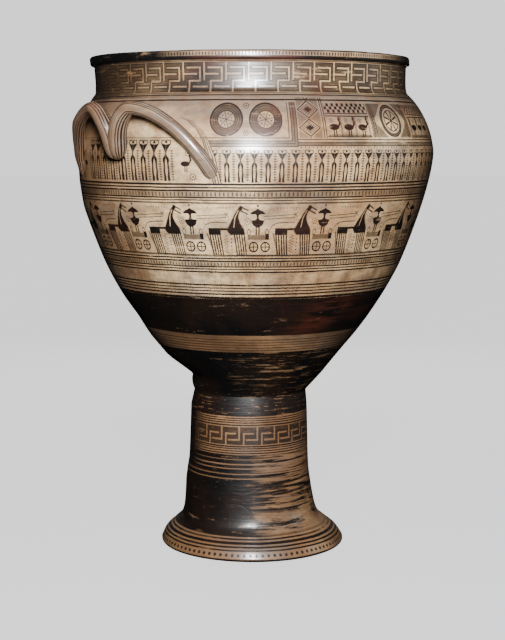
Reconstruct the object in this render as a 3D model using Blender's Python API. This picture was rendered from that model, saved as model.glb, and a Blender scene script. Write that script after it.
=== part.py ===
"""A large painted clay krater of the Geometric period, one fired piece.

A wide bowl with a low neck stands on a tall hollow foot and has two double-arched handles.
Metres, +Z up. The origin is the centre of the ring that the foot stands on. The painted front
faces -Y, and the handles are at -X and +X.
"""

import math

import bmesh
import bpy
from mathutils import Vector
from mathutils.geometry import interpolate_bezier

# Foot and stem
FOOT_RADIUS = 0.2340
FOOT_EDGE_HEIGHT = 0.0080
FOOT_EDGE_RADIUS = 0.0040
STAND_WIDTH = 0.0260
FLARE_HEIGHT = 0.1920
STEM_RADIUS = 0.1545
STEM_HEIGHT = 0.1570
STEM_TOP_RADIUS = 0.1490
JOINT_HEIGHT = 0.0380
JOINT_RADIUS = 0.1430

# Bowl, shoulder, neck and lip
BOWL_HEIGHT = 0.5950
BELLY_RADIUS = 0.4535
SHOULDER_HEIGHT = 0.1550
NECK_RADIUS = 0.3890
NECK_HEIGHT = 0.0630
LIP_OVERHANG = 0.0095
LIP_HEIGHT = 0.0220
LIP_EDGE_RADIUS = 0.0060

# Clay
WALL = 0.0160
FLOOR_THICKNESS = 0.0280

# Handles: angles are counted round the vessel from the leg that the two arches share
LEG_ANGLES = {"right": 0.0, "left": math.pi}
ARCH_SPAN = math.radians(31.6)
ARCH_APEX_ANGLE = math.radians(7.5)
LEG_ANGLE = math.radians(0.8)
OUTER_ROOT_DROP = 0.0530
ARCH_RISE = 0.1100
LEG_ROOT_DROP = 0.0080
STAND_OFF = 0.0600
LEG_STAND_OFF = 0.0120
STRAP_HALF_WIDTH = 0.0160
STRAP_HALF_DEPTH = 0.0150
LEG_HALF_WIDTH = 0.0240
LEG_HALF_DEPTH = 0.0250
ROOT_SINK = 0.0040

# Facets
ROUND_SIDES = 48
CURVE_STEPS = 2
ROUND_STEPS = 2
STRAP_SIDES = 12
STRAP_STEPS = 9
MERGE = 0.00001

# Free form of the turned outline: (share of the radius change, share of the height) in each part
FLARE_FORM = ((0.176, 0.115), (0.472, 0.219), (0.755, 0.333), (0.885, 0.531))
BOWL_FORM = ((0.215, 0.143), (0.469, 0.311), (0.706, 0.513), (0.860, 0.714), (0.958, 0.880))
SHOULDER_FORM = ((0.070, 0.26), (0.270, 0.52), (0.550, 0.74), (0.830, 0.90))

# Free form of an arch: how far each end of its two curves pulls, as shares of (turn, rise, stand-off)
OUTER_ROOT_PULL = (0.13, 0.41, 0.03)
CLIMB_APEX_PULL = (0.41, 0.00, 0.32)
FALL_APEX_PULL = (0.16, 0.00, 0.00)
LEG_ROOT_PULL = (0.00, 0.79, 0.45)

# Share of the full depth at the first steps from the outer root, where a strap runs out into the wall,
# and from the end of the leg. A strap's width narrows by half as much, and the leg keeps its width.
ROOT_TAPER = (0.40, 0.74, 0.93)
LEG_TAPER = (0.80, 0.94)

CLAY_COLOUR = (0.42, 0.27, 0.16, 1.0)
CLAY_ROUGHNESS = 0.38

stem_bottom = FOOT_EDGE_HEIGHT + FLARE_HEIGHT
stem_top = stem_bottom + STEM_HEIGHT
joint_level = stem_top + JOINT_HEIGHT
belly_level = joint_level + BOWL_HEIGHT
neck_bottom = belly_level + SHOULDER_HEIGHT
lip_bottom = neck_bottom + NECK_HEIGHT
rim_level = lip_bottom + LIP_HEIGHT
lip_radius = NECK_RADIUS + LIP_OVERHANG
hollow_top = joint_level - WALL / 2
bowl_floor = hollow_top + FLOOR_THICKNESS


def clear_scene():
    for obj in list(bpy.data.objects):
        bpy.data.objects.remove(obj)


def stations(start, end, form):
    """The points of one part of the outline, from its two ends and its free form."""
    (r0, z0), (r1, z1) = start, end
    inner = [(r0 + (r1 - r0) * across, z0 + (z1 - z0) * up) for across, up in form]
    return [start, *inner, end]


def smooth(points, steps=CURVE_STEPS):
    """A curve through all the points, with steps straight pieces between two of them."""
    knots = [Vector((r, z)) for r, z in points]
    ahead = [knots[0], *knots, knots[-1]]
    along = [(ahead[i + 2] - ahead[i]).normalized() for i in range(len(knots))]
    curve = []
    for i in range(len(knots) - 1):
        near, far = knots[i], knots[i + 1]
        pull = (far - near).length / 3
        hold, reach = near + along[i] * pull, far - along[i + 1] * pull
        piece = interpolate_bezier(near, hold, reach, far, steps + 1)
        curve += [(p.x, p.y) for p in piece[:-1]]
    return [*curve, points[-1]]


def quarter_round(centre, radius, start_degrees, end_degrees):
    """Points of an arc in the outline's plane."""
    points = []
    for i in range(ROUND_STEPS + 1):
        angle = math.radians(start_degrees + (end_degrees - start_degrees) * i / ROUND_STEPS)
        points.append((centre[0] + radius * math.cos(angle), centre[1] + radius * math.sin(angle)))
    return points


def inset(points, depth):
    """The outline moved into the clay by depth, at right angles to itself."""
    moved = []
    for i, point in enumerate(points):
        before = Vector(points[max(i - 1, 0)])
        after = Vector(points[min(i + 1, len(points) - 1)])
        along = (after - before).normalized()
        moved.append((point[0] - along.y * depth, point[1] + along.x * depth))
    return moved


def foot_line():
    """The outside of the foot and stem, from the edge's top to the joint under the bowl."""
    flare = stations((FOOT_RADIUS, FOOT_EDGE_HEIGHT), (STEM_RADIUS, stem_bottom), FLARE_FORM)
    return smooth([*flare, (STEM_TOP_RADIUS, stem_top)]) + [(JOINT_RADIUS, joint_level)]


def bowl_line():
    """The outside of the bowl, shoulder and neck, from the joint to the lip's underside."""
    bowl = stations((JOINT_RADIUS, joint_level), (BELLY_RADIUS, belly_level), BOWL_FORM)
    shoulder = stations((BELLY_RADIUS, belly_level), (NECK_RADIUS, neck_bottom), SHOULDER_FORM)
    return smooth([*bowl, *shoulder[1:], (NECK_RADIUS, lip_bottom)])


def lip_line():
    """The lip, from its outer underside to the inner edge of its flat top."""
    centre_radius = lip_radius - LIP_EDGE_RADIUS
    low = quarter_round((centre_radius, lip_bottom + LIP_EDGE_RADIUS), LIP_EDGE_RADIUS, -90, 0)
    high = quarter_round((centre_radius, rim_level - LIP_EDGE_RADIUS), LIP_EDGE_RADIUS, 0, 90)
    return [*low, *high, (NECK_RADIUS - WALL, rim_level)]


def bowl_lining():
    """The inside of the bowl, from the rim down to the middle of its floor."""
    down = inset(bowl_line(), WALL)[::-1]
    kept = [p for p in down if p[0] >= JOINT_RADIUS and p[1] < lip_bottom]
    edge_radius, edge_level = kept[-1]
    dish = []
    for i in range(1, ROUND_STEPS + 1):
        share = 1 - i / ROUND_STEPS
        dish.append((edge_radius * share, bowl_floor + (edge_level - bowl_floor) * share**3))
    return [*kept, *dish]


def foot_lining():
    """The hollow of the foot, from the ring that it stands on up to the middle of its ceiling."""
    stand_inside = FOOT_RADIUS - STAND_WIDTH
    outside = [p for p in foot_line() if p[1] <= stem_top]
    kept = [p for p in inset(outside, WALL) if p[0] < stand_inside and p[1] > FOOT_EDGE_HEIGHT]
    edge_radius, edge_level = kept[-1]
    dome = []
    for i in range(1, ROUND_STEPS + 1):
        turn = math.pi / 2 * i / ROUND_STEPS
        dome.append(
            (edge_radius * math.cos(turn), edge_level + (hollow_top - edge_level) * math.sin(turn))
        )
    dome[-1] = (0.0, hollow_top)
    return [(stand_inside, 0.0), *kept, *dome]


def foot_edge():
    """The foot's outer edge, from the ring that it stands on up to the flare."""
    centre_radius = FOOT_RADIUS - FOOT_EDGE_RADIUS
    return quarter_round((centre_radius, FOOT_EDGE_RADIUS), FOOT_EDGE_RADIUS, -90, 0)


def turned_outline():
    """The whole section as one line, from the ceiling of the foot, round the clay, to the floor."""
    outside = [*foot_edge(), *foot_line(), *bowl_line()[1:], *lip_line()]
    return [*reversed(foot_lining()), *outside, *bowl_lining()]


def wall_radius(level):
    """The outside radius of the bowl at a level."""
    line = bowl_line()
    for (r0, z0), (r1, z1) in zip(line, line[1:]):
        if z0 <= level <= z1:
            return r0 + (r1 - r0) * (level - z0) / (z1 - z0)
    return NECK_RADIUS


def mesh_object(name, bm):
    mesh = bpy.data.meshes.new(name)
    bm.to_mesh(mesh)
    bm.free()
    obj = bpy.data.objects.new(name, mesh)
    bpy.context.scene.collection.objects.link(obj)
    return obj


def make_vessel():
    """The turned clay: the section spun once round the upright axis."""
    bm = bmesh.new()
    line = [bm.verts.new((radius, 0.0, level)) for radius, level in turned_outline()]
    edges = [bm.edges.new(pair) for pair in zip(line, line[1:])]
    bmesh.ops.spin(
        bm,
        geom=[*line, *edges],
        cent=(0, 0, 0),
        axis=(0, 0, 1),
        angle=math.tau,
        steps=ROUND_SIDES,
        use_merge=True,
    )
    bmesh.ops.remove_doubles(bm, verts=bm.verts, dist=MERGE)
    bmesh.ops.recalc_face_normals(bm, faces=bm.faces)
    return mesh_object("krater", bm)


def pulled(anchor, other, shares):
    """A curve's handle: the point that lies at these shares of the way from anchor to other."""
    way = other - anchor
    return anchor + Vector([step * share for step, share in zip(way, shares)])


def between(start, end, share):
    return start + (end - start) * share


def arch_path():
    """(turn from the shared leg, level, stand-off, half width, half depth) along one arch."""
    outer_root = Vector((ARCH_SPAN, belly_level - OUTER_ROOT_DROP, -ROOT_SINK))
    apex = Vector((ARCH_APEX_ANGLE, belly_level + ARCH_RISE, STAND_OFF))
    leg_root = Vector((LEG_ANGLE, belly_level - LEG_ROOT_DROP, LEG_STAND_OFF))
    leave_root = pulled(outer_root, apex, OUTER_ROOT_PULL)
    reach_apex = pulled(apex, outer_root, CLIMB_APEX_PULL)
    leave_apex = pulled(apex, leg_root, FALL_APEX_PULL)
    reach_leg = pulled(leg_root, apex, LEG_ROOT_PULL)
    climb = interpolate_bezier(outer_root, leave_root, reach_apex, apex, STRAP_STEPS)
    fall = interpolate_bezier(apex, leave_apex, reach_leg, leg_root, STRAP_STEPS)
    points = [*climb[:-1], *fall]
    path = []
    for i, point in enumerate(points):
        leg_share = max(0, i - len(climb) + 1) / (len(fall) - 1)
        from_end = min(i, len(points) - 1 - i)
        tapers = LEG_TAPER if leg_share else ROOT_TAPER
        taper = tapers[from_end] if from_end < len(tapers) else 1
        half_width = between(STRAP_HALF_WIDTH, LEG_HALF_WIDTH, leg_share) * taper ** ((1 - leg_share) / 2)
        half_depth = between(STRAP_HALF_DEPTH, LEG_HALF_DEPTH, leg_share) * taper
        path.append((*point, half_width, half_depth))
    return path


def make_arch(name, leg_angle, way_round):
    """One arch of a double handle: an oval strap swept along its path, with closed ends."""
    centres, outs, sizes = [], [], []
    for turn, level, stand_off, half_width, half_depth in arch_path():
        angle = leg_angle + way_round * turn
        out = Vector((math.cos(angle), math.sin(angle), 0))
        centres.append(out * (wall_radius(level) + stand_off) + Vector((0, 0, level)))
        outs.append(out)
        sizes.append((half_width, half_depth))
    last = len(centres) - 1
    bm = bmesh.new()
    rings = []
    for i, centre in enumerate(centres):
        along = (centres[min(i + 1, last)] - centres[max(i - 1, 0)]).normalized()
        across = along.cross(outs[i]).normalized()
        out = across.cross(along).normalized()
        half_width, half_depth = sizes[i]
        ring = []
        for k in range(STRAP_SIDES):
            turn = math.tau * k / STRAP_SIDES
            offset = across * half_width * math.cos(turn) + out * half_depth * math.sin(turn)
            ring.append(bm.verts.new(centre + offset))
        rings.append(ring)
    for near, far in zip(rings, rings[1:]):
        for k in range(STRAP_SIDES):
            after = (k + 1) % STRAP_SIDES
            bm.faces.new((near[k], near[after], far[after], far[k]))
    bm.faces.new(rings[0])
    bm.faces.new(rings[-1])
    bmesh.ops.recalc_face_normals(bm, faces=bm.faces)
    arch = mesh_object(name, bm)
    arch.hide_render = True
    arch.display_type = "WIRE"
    return arch


def join_clay(vessel, lump):
    """Unites a lump of clay with the vessel, as one body."""
    union = vessel.modifiers.new(lump.name, "BOOLEAN")
    union.operation = "UNION"
    union.solver = "EXACT"
    union.object = lump


def clay_material():
    material = bpy.data.materials.new("painted_clay")
    material.use_nodes = True
    shader = material.node_tree.nodes["Principled BSDF"]
    shader.inputs["Base Color"].default_value = CLAY_COLOUR
    shader.inputs["Roughness"].default_value = CLAY_ROUGHNESS
    shader.inputs["Metallic"].default_value = 0.0
    return material


def build():
    clear_scene()
    vessel = make_vessel()
    for side, leg_angle in LEG_ANGLES.items():
        join_clay(vessel, make_arch(f"{side}_handle_arch_1", leg_angle, 1))
        join_clay(vessel, make_arch(f"{side}_handle_arch_2", leg_angle, -1))
    vessel.data.materials.append(clay_material())
    vessel.data.shade_smooth()
    vessel.data.set_sharp_from_angle(angle=math.radians(40))


build()
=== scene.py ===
"""A large painted krater of the Geometric period: its fired clay, slip painting and studio.

Metres, +Z up. The turned wall and the two double handles make one piece, which stands for the
node "krater". Angles on the wall are in degrees round the upright axis, 0 at the front (-Y) and
rising towards +X. The painting is laid out by height and angle, zone by zone.
"""

import math

import bmesh
import bpy
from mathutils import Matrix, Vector, noise
from mathutils.geometry import interpolate_bezier


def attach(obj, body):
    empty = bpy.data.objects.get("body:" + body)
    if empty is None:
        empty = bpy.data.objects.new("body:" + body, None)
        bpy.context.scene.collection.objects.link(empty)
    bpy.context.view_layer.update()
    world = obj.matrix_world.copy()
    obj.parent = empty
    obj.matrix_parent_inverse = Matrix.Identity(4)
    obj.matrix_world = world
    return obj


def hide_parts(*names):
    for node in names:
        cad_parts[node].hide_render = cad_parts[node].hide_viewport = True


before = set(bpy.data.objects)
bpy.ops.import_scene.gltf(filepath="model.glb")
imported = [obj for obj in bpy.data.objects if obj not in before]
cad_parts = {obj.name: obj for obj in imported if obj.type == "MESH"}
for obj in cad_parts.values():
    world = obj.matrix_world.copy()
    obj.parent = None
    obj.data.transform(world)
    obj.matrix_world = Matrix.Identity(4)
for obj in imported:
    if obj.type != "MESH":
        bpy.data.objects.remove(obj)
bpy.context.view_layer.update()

# The turned form, as in the source of the part
FOOT_RADIUS, FOOT_EDGE_HEIGHT, FOOT_EDGE_ROUND, STAND_WIDTH = 0.2340, 0.0080, 0.0040, 0.0260
STEM_RADIUS, STEM_BOTTOM, STEM_TOP_RADIUS, STEM_TOP = 0.1545, 0.2000, 0.1490, 0.3570
JOINT_RADIUS, JOINT_LEVEL = 0.1430, 0.3950
BELLY_RADIUS, BELLY_LEVEL, NECK_RADIUS, NECK_BOTTOM = 0.4535, 0.9900, 0.3890, 1.1450
LIP_BOTTOM, RIM_LEVEL, LIP_OVERHANG, LIP_ROUND = 1.2080, 1.2300, 0.0095, 0.0060
WALL, HOLLOW_TOP, BOWL_FLOOR = 0.0160, 0.3870, 0.4150
FLARE_FORM = ((0.176, 0.115), (0.472, 0.219), (0.755, 0.333), (0.885, 0.531))
BOWL_FORM = ((0.215, 0.143), (0.469, 0.311), (0.706, 0.513), (0.860, 0.714), (0.958, 0.880))
SHOULDER_FORM = ((0.070, 0.26), (0.270, 0.52), (0.550, 0.74), (0.830, 0.90))

# One arch of a handle: (turn from the shared leg, level, stand-off from the wall)
ARCH_ROOT = Vector((math.radians(31.6), 0.9370, -0.0040))
ARCH_APEX = Vector((math.radians(7.5), 1.1000, 0.0600))
ARCH_LEG = Vector((math.radians(0.8), 0.9820, 0.0120))
STRAP_HALF_WIDTH, STRAP_HALF_DEPTH, LEG_HALF_WIDTH, LEG_HALF_DEPTH = 0.0160, 0.0150, 0.0240, 0.0250

# How far the pot leans to one side at a level, because it stands together from many sherds
LEAN_WAY = Vector((-0.676, 0.737, 0.0))
LEAN = ((0.0, 0.0), (0.10, 0.005), (0.19, 0.010), (0.37, 0.009), (0.395, 0.006), (0.44, 0.0),
        (1.12, 0.0), (1.15, 0.004), (1.21, 0.006), (1.23, 0.008))

# How far the wall on that side stands out from the true round, or in from it
SWELL = ((0.0, 0.0), (0.05, 0.004), (0.16, 0.006), (0.22, 0.0), (0.40, 0.0), (0.42, -0.009),
         (0.437, -0.024), (0.455, -0.014), (0.486, 0.004), (0.536, 0.004), (0.587, -0.003), (0.64, 0.0),
         (0.86, 0.0), (0.93, -0.009), (0.965, -0.015), (1.01, -0.017), (1.04, -0.010), (1.07, 0.0),
         (1.30, 0.0))

# Painted zones, from the bottom: the level that each one ends at
FOOT_TOP, STEM_PAINT_TOP, DARK_TOP, LOW_BELTS_TOP = 0.2055, 0.3932, 0.6600, 0.7655
CHARIOTS_TOP, HIGH_BELTS_TOP, FIGURES_TOP, SHOULDER_TOP = 0.8864, 0.9290, 1.0320, 1.1230

# How far the brush wavers up and down, and how many sides the wall and a strap have
LINE_WAVER, WALL_SIDES, STRAP_SIDES = 0.0022, 320, 32

# Clay and slip
CREAM = (0.72, 0.53, 0.30, 1.0)
BUFF = (0.380, 0.225, 0.108, 1.0)
TAN = (0.165, 0.082, 0.036, 1.0)
ASH = (0.130, 0.104, 0.090, 1.0)
BLACK_SLIP = (0.0018, 0.0018, 0.0020, 1.0)
BROWN_SLIP = (0.0100, 0.0050, 0.0028, 1.0)
RED_SLIP = (0.070, 0.017, 0.009, 1.0)


# Node trees


class Value:
    """One socket of a node tree. Arithmetic on it adds the Math nodes that work it out."""

    def __init__(self, tree, socket):
        self.tree, self.socket = tree, socket

    def other(self, output):
        """Another output of the same node."""
        return Value(self.tree, self.socket.node.outputs[output])

    def math(self, operation, *rest):
        return self.tree.math(operation, self, *rest)

    def __add__(self, other):
        return self.math("ADD", other)

    def __radd__(self, other):
        return self.tree.math("ADD", other, self)

    def __sub__(self, other):
        return self.math("SUBTRACT", other)

    def __rsub__(self, other):
        return self.tree.math("SUBTRACT", other, self)

    def __mul__(self, other):
        return self.math("MULTIPLY", other)

    def __rmul__(self, other):
        return self.tree.math("MULTIPLY", other, self)

    def __truediv__(self, other):
        return self.math("DIVIDE", other)

    def __mod__(self, other):
        return self.math("FLOORED_MODULO", other)

    def __lt__(self, other):
        return self.math("LESS_THAN", other)

    def __gt__(self, other):
        return self.math("GREATER_THAN", other)

    def __abs__(self):
        return self.math("ABSOLUTE")


class Tree:
    """A node tree that is written as expressions."""

    def __init__(self, tree):
        self.tree = tree
        tree.nodes.clear()

    def node(self, kind, settings=None, sockets=None, output=0):
        """A node: its kind, its settings, which are made first, and what goes into its sockets."""
        made = self.tree.nodes.new(kind)
        for name, value in (settings or {}).items():
            if name == "points":
                self.bend(made.mapping, value)
            else:
                setattr(made, name, value)
        for name, value in (sockets or {}).items():
            if isinstance(value, Value):
                self.tree.links.new(value.socket, made.inputs[name])
            else:
                made.inputs[name].default_value = value
        return Value(self, made.outputs[output]) if len(made.outputs) else made

    def math(self, operation, *values):
        return self.node("ShaderNodeMath", {"operation": operation}, dict(enumerate(values)))

    @staticmethod
    def bend(mapping, points):
        """Lays straight pieces between the points of a curve node."""
        mapping.extend = "HORIZONTAL"
        line = mapping.curves[0].points
        line[0].location, line[1].location = points[0], points[-1]
        for point in points[1:-1]:
            line.new(*point)
        for point in line:
            point.handle_type = "VECTOR"
        mapping.update()


def least(a, b):
    return a.math("MINIMUM", b)


def most(first, *others):
    """The strongest of several layers of paint at each place."""
    for other in others:
        first = first.math("MAXIMUM", other)
    return first


def curve(value, points):
    """The height of a line of straight pieces, through (place, height) points, at a value."""
    first, last = points[0][0], points[-1][0]
    low, high = min(h for _, h in points), max(h for _, h in points)
    scaled = [((p - first) / (last - first), (h - low) / (high - low)) for p, h in points]
    share = (value - first) / (last - first)
    return value.tree.node("ShaderNodeFloatCurve", {"points": scaled}, {1: share}) * (high - low) + low


def inside(distance, soft=0.0005):
    """1 where a distance is below nothing and 0 beyond it, with an edge as soft as a brush's."""
    return distance.tree.node("ShaderNodeMapRange", None, {0: distance, 1: soft, 2: -soft})


def blend(share, first, second):
    """A colour between two others."""
    return share.tree.node("ShaderNodeMix", {"data_type": "RGBA"}, {0: share, 6: first, 7: second}, 2)


def spread(value, low, high):
    """0 up to low, 1 from high on."""
    return value.tree.node("ShaderNodeMapRange", None, {0: value, 1: low, 2: high})


# The turned wall


def smooth(points, steps):
    """A curve through all the points, with steps straight pieces between two of them."""
    knots = [Vector(point) for point in points]
    ahead = [knots[0], *knots, knots[-1]]
    along = [(ahead[i + 2] - ahead[i]).normalized() for i in range(len(knots))]
    line = []
    for i in range(len(knots) - 1):
        near, far = knots[i], knots[i + 1]
        pull = (far - near).length / 3
        piece = interpolate_bezier(near, near + along[i] * pull, far - along[i + 1] * pull, far, steps + 1)
        line += [(p.x, p.y) for p in piece[:-1]]
    return [*line, points[-1]]


def stations(start, end, form):
    (r0, z0), (r1, z1) = start, end
    return [start, *((r0 + (r1 - r0) * across, z0 + (z1 - z0) * up) for across, up in form), end]


def foot_line(steps):
    flare = stations((FOOT_RADIUS, FOOT_EDGE_HEIGHT), (STEM_RADIUS, STEM_BOTTOM), FLARE_FORM)
    return smooth([*flare, (STEM_TOP_RADIUS, STEM_TOP)], steps) + [(JOINT_RADIUS, JOINT_LEVEL)]


def bowl_line(steps):
    bowl = stations((JOINT_RADIUS, JOINT_LEVEL), (BELLY_RADIUS, BELLY_LEVEL), BOWL_FORM)
    shoulder = stations((BELLY_RADIUS, BELLY_LEVEL), (NECK_RADIUS, NECK_BOTTOM), SHOULDER_FORM)
    return smooth([*bowl, *shoulder[1:], (NECK_RADIUS, LIP_BOTTOM)], steps)


def arc(centre, radius, start, end, steps=5):
    """Points of an arc in the outline's plane."""
    turns = [math.radians(start + (end - start) * i / steps) for i in range(steps + 1)]
    return [(centre[0] + radius * math.cos(t), centre[1] + radius * math.sin(t)) for t in turns]


def inset(line, depth):
    """A line moved into the clay by depth, at right angles to itself."""
    moved = []
    for i, point in enumerate(line):
        way = (Vector(line[min(i + 1, len(line) - 1)]) - Vector(line[max(i - 1, 0)])).normalized()
        moved.append((point[0] - way.y * depth, point[1] + way.x * depth))
    return moved


def with_levels(line, levels):
    """The line with a point of its own at each level where a painted zone ends."""
    cut = [line[0]]
    for (r0, z0), (r1, z1) in zip(line, line[1:]):
        for level in levels:
            if z0 < level < z1:
                cut.append((r0 + (r1 - r0) * (level - z0) / (z1 - z0), level))
        cut.append((r1, z1))
    return cut


def outline():
    """The whole section as one line, and how many of its points lie on the outside."""
    edge = arc((FOOT_RADIUS - FOOT_EDGE_ROUND, FOOT_EDGE_ROUND), FOOT_EDGE_ROUND, -90, 0)
    lip_middle = NECK_RADIUS + LIP_OVERHANG - LIP_ROUND
    lip = [*arc((lip_middle, LIP_BOTTOM + LIP_ROUND), LIP_ROUND, -90, 0),
           *arc((lip_middle, RIM_LEVEL - LIP_ROUND), LIP_ROUND, 0, 90)]
    outside = with_levels([*edge, *foot_line(9), *bowl_line(9)[1:], *lip], ZONE_ENDS)
    lining = [p for p in inset(bowl_line(4), WALL)[::-1] if p[0] >= JOINT_RADIUS and p[1] < LIP_BOTTOM]
    r, z = lining[-1]
    dish = [(r * (1 - i / 6), BOWL_FLOOR + (z - BOWL_FLOOR) * (1 - i / 6) ** 3) for i in range(1, 7)]
    brim = [(NECK_RADIUS - WALL + 0.003, RIM_LEVEL), (NECK_RADIUS - WALL, RIM_LEVEL - 0.004)]
    stand = FOOT_RADIUS - STAND_WIDTH
    hollow = [p for p in inset([q for q in foot_line(4) if q[1] <= STEM_TOP], WALL)
              if p[0] < stand and p[1] > FOOT_EDGE_HEIGHT]
    r, z = hollow[-1]
    dome = [(r * math.cos(t), z + (HOLLOW_TOP - z) * math.sin(t))
            for t in (math.pi / 2 * i / 6 for i in range(1, 6))] + [(0.0, HOLLOW_TOP)]
    under = [(stand, 0.0), *hollow, *dome][::-1]
    return [*under, *outside, *brim, *lining, *dish], len(under), len(under) + len(outside)


ZONE_ENDS = (FOOT_TOP, STEM_PAINT_TOP, DARK_TOP, LOW_BELTS_TOP, CHARIOTS_TOP, HIGH_BELTS_TOP,
             FIGURES_TOP, SHOULDER_TOP)
BOWL = bowl_line(9)


def wall_radius(level):
    """The outside radius of the bowl at a level."""
    for (r0, z0), (r1, z1) in zip(BOWL, BOWL[1:]):
        if z0 <= level <= z1:
            return r0 + (r1 - r0) * (level - z0) / (z1 - z0)
    return NECK_RADIUS


def line_mesh(name, points, attributes):
    """A line of points as a mesh, with values of its own at each point."""
    mesh = bpy.data.meshes.new(name)
    mesh.from_pydata(points, [(i, i + 1) for i in range(len(points) - 1)], [])
    for label, (kind, values) in attributes.items():
        field = "vector" if kind == "FLOAT_VECTOR" else "value"
        flat = [part for value in values for part in value] if field == "vector" else values
        mesh.attributes.new(label, kind, "POINT").data.foreach_set(field, flat)
    piece = bpy.data.objects.new(name, mesh)
    bpy.context.scene.collection.objects.link(piece)
    return piece


def form_tree(name, sizes):
    """A geometry tree with a mesh going in and coming out, and named whole numbers for its sizes."""
    group = bpy.data.node_groups.new(name, "GeometryNodeTree")
    group.interface.new_socket("Line", in_out="INPUT", socket_type="NodeSocketGeometry")
    for size, value in sizes.items():
        socket = group.interface.new_socket(size, in_out="INPUT", socket_type="NodeSocketInt")
        socket.default_value = value
    group.interface.new_socket("Clay", in_out="INPUT", socket_type="NodeSocketMaterial")
    group.interface.new_socket("Form", in_out="OUTPUT", socket_type="NodeSocketGeometry")
    return group, Tree(group)


def ring_grid(tree, given):
    """A grid with a column for each side and a row for each point of the line that came in."""
    rows = tree.node("GeometryNodeAttributeDomainSize", None, {0: given})
    sides = given.other("Sides")
    grid = tree.node("GeometryNodeMeshGrid", None, {2: sides + 1, 3: rows})
    index = tree.node("GeometryNodeInputIndex")
    column = (index / rows).math("FLOOR")
    row = index % rows
    return grid, row, column * math.tau / sides


def sampled(tree, line, kind, value, row):
    """What the line holds at a row."""
    return tree.node("GeometryNodeSampleIndex", {"data_type": kind}, {0: line, 1: value, 2: row})


def finish_form(tree, grid, position, given, extra=()):
    """Moves the grid's points into place and closes it, as one skin of clay."""
    placed = tree.node("GeometryNodeSetPosition", None, {0: grid, 2: position})
    for label, value in extra:
        placed = tree.node("GeometryNodeStoreNamedAttribute", {"data_type": "FLOAT"},
                           {0: placed, "Name": label, "Value": value})
    closed = tree.node("GeometryNodeMergeByDistance", None, {0: placed, "Distance": 0.00001})
    round_shaded = tree.node("GeometryNodeSetShadeSmooth", None, {0: closed})
    real = tree.node("GeometryNodeRealizeInstances", None, {0: round_shaded})
    clay = tree.node("GeometryNodeSetMaterial", None, {0: real, "Material": given.other("Clay")})
    tree.node("NodeGroupOutput", None, {0: clay})


def turned_tree():
    """Turns the section that it is given once round the upright axis."""
    group, tree = form_tree("turned_wall", {"Sides": WALL_SIDES})
    given = tree.node("NodeGroupInput")
    grid, row, turn = ring_grid(tree, given)
    station = sampled(tree, given, "FLOAT_VECTOR", tree.node("GeometryNodeInputPosition"), row)
    position = tree.node("ShaderNodeVectorRotate", {"rotation_type": "Z_AXIS"}, {0: station, "Angle": turn})
    finish_form(tree, grid, position, given, (("station", row),))
    return group


def strap_tree():
    """Lays an oval strap along the line that it is given, as wide and deep as the line says."""
    group, tree = form_tree("handle_strap", {"Sides": STRAP_SIDES})
    given = tree.node("NodeGroupInput")
    grid, row, turn = ring_grid(tree, given)

    def held(label, kind):
        value = tree.node("GeometryNodeInputNamedAttribute", {"data_type": kind}, {"Name": label})
        return sampled(tree, given, kind, value, row)

    def scaled(vector, size):
        return tree.node("ShaderNodeVectorMath", {"operation": "SCALE"}, {0: vector, "Scale": size})

    across, outward = turn.math("COSINE"), turn.math("SINE")
    sideways = scaled(held("across_way", "FLOAT_VECTOR"), held("half_width", "FLOAT") * across)
    forwards = scaled(held("out_way", "FLOAT_VECTOR"), held("half_depth", "FLOAT") * outward)
    middle = sampled(tree, given, "FLOAT_VECTOR", tree.node("GeometryNodeInputPosition"), row)
    offset = tree.node("ShaderNodeVectorMath", {"operation": "ADD"}, {0: sideways, 1: forwards})
    position = tree.node("ShaderNodeVectorMath", {"operation": "ADD"}, {0: middle, 1: offset})
    finish_form(tree, grid, position, given, (("strap_across", across), ("strap_outward", outward)))
    return group


def formed(line, group, settings):
    """The plain mesh that a geometry tree makes of a line."""
    modifier = line.modifiers.new(group.name, "NODES")
    modifier.node_group = group
    for item in group.interface.items_tree:
        if item.in_out == "INPUT" and item.name in settings:
            modifier[item.identifier] = settings[item.name]
    evaluated = line.evaluated_get(bpy.context.evaluated_depsgraph_get())
    mesh = bpy.data.meshes.new_from_object(evaluated)
    line.modifiers.remove(modifier)
    bpy.data.objects.remove(line)
    return mesh


def pulled(anchor, other, shares):
    way = other - anchor
    return anchor + Vector([step * share for step, share in zip(way, shares)])


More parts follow.
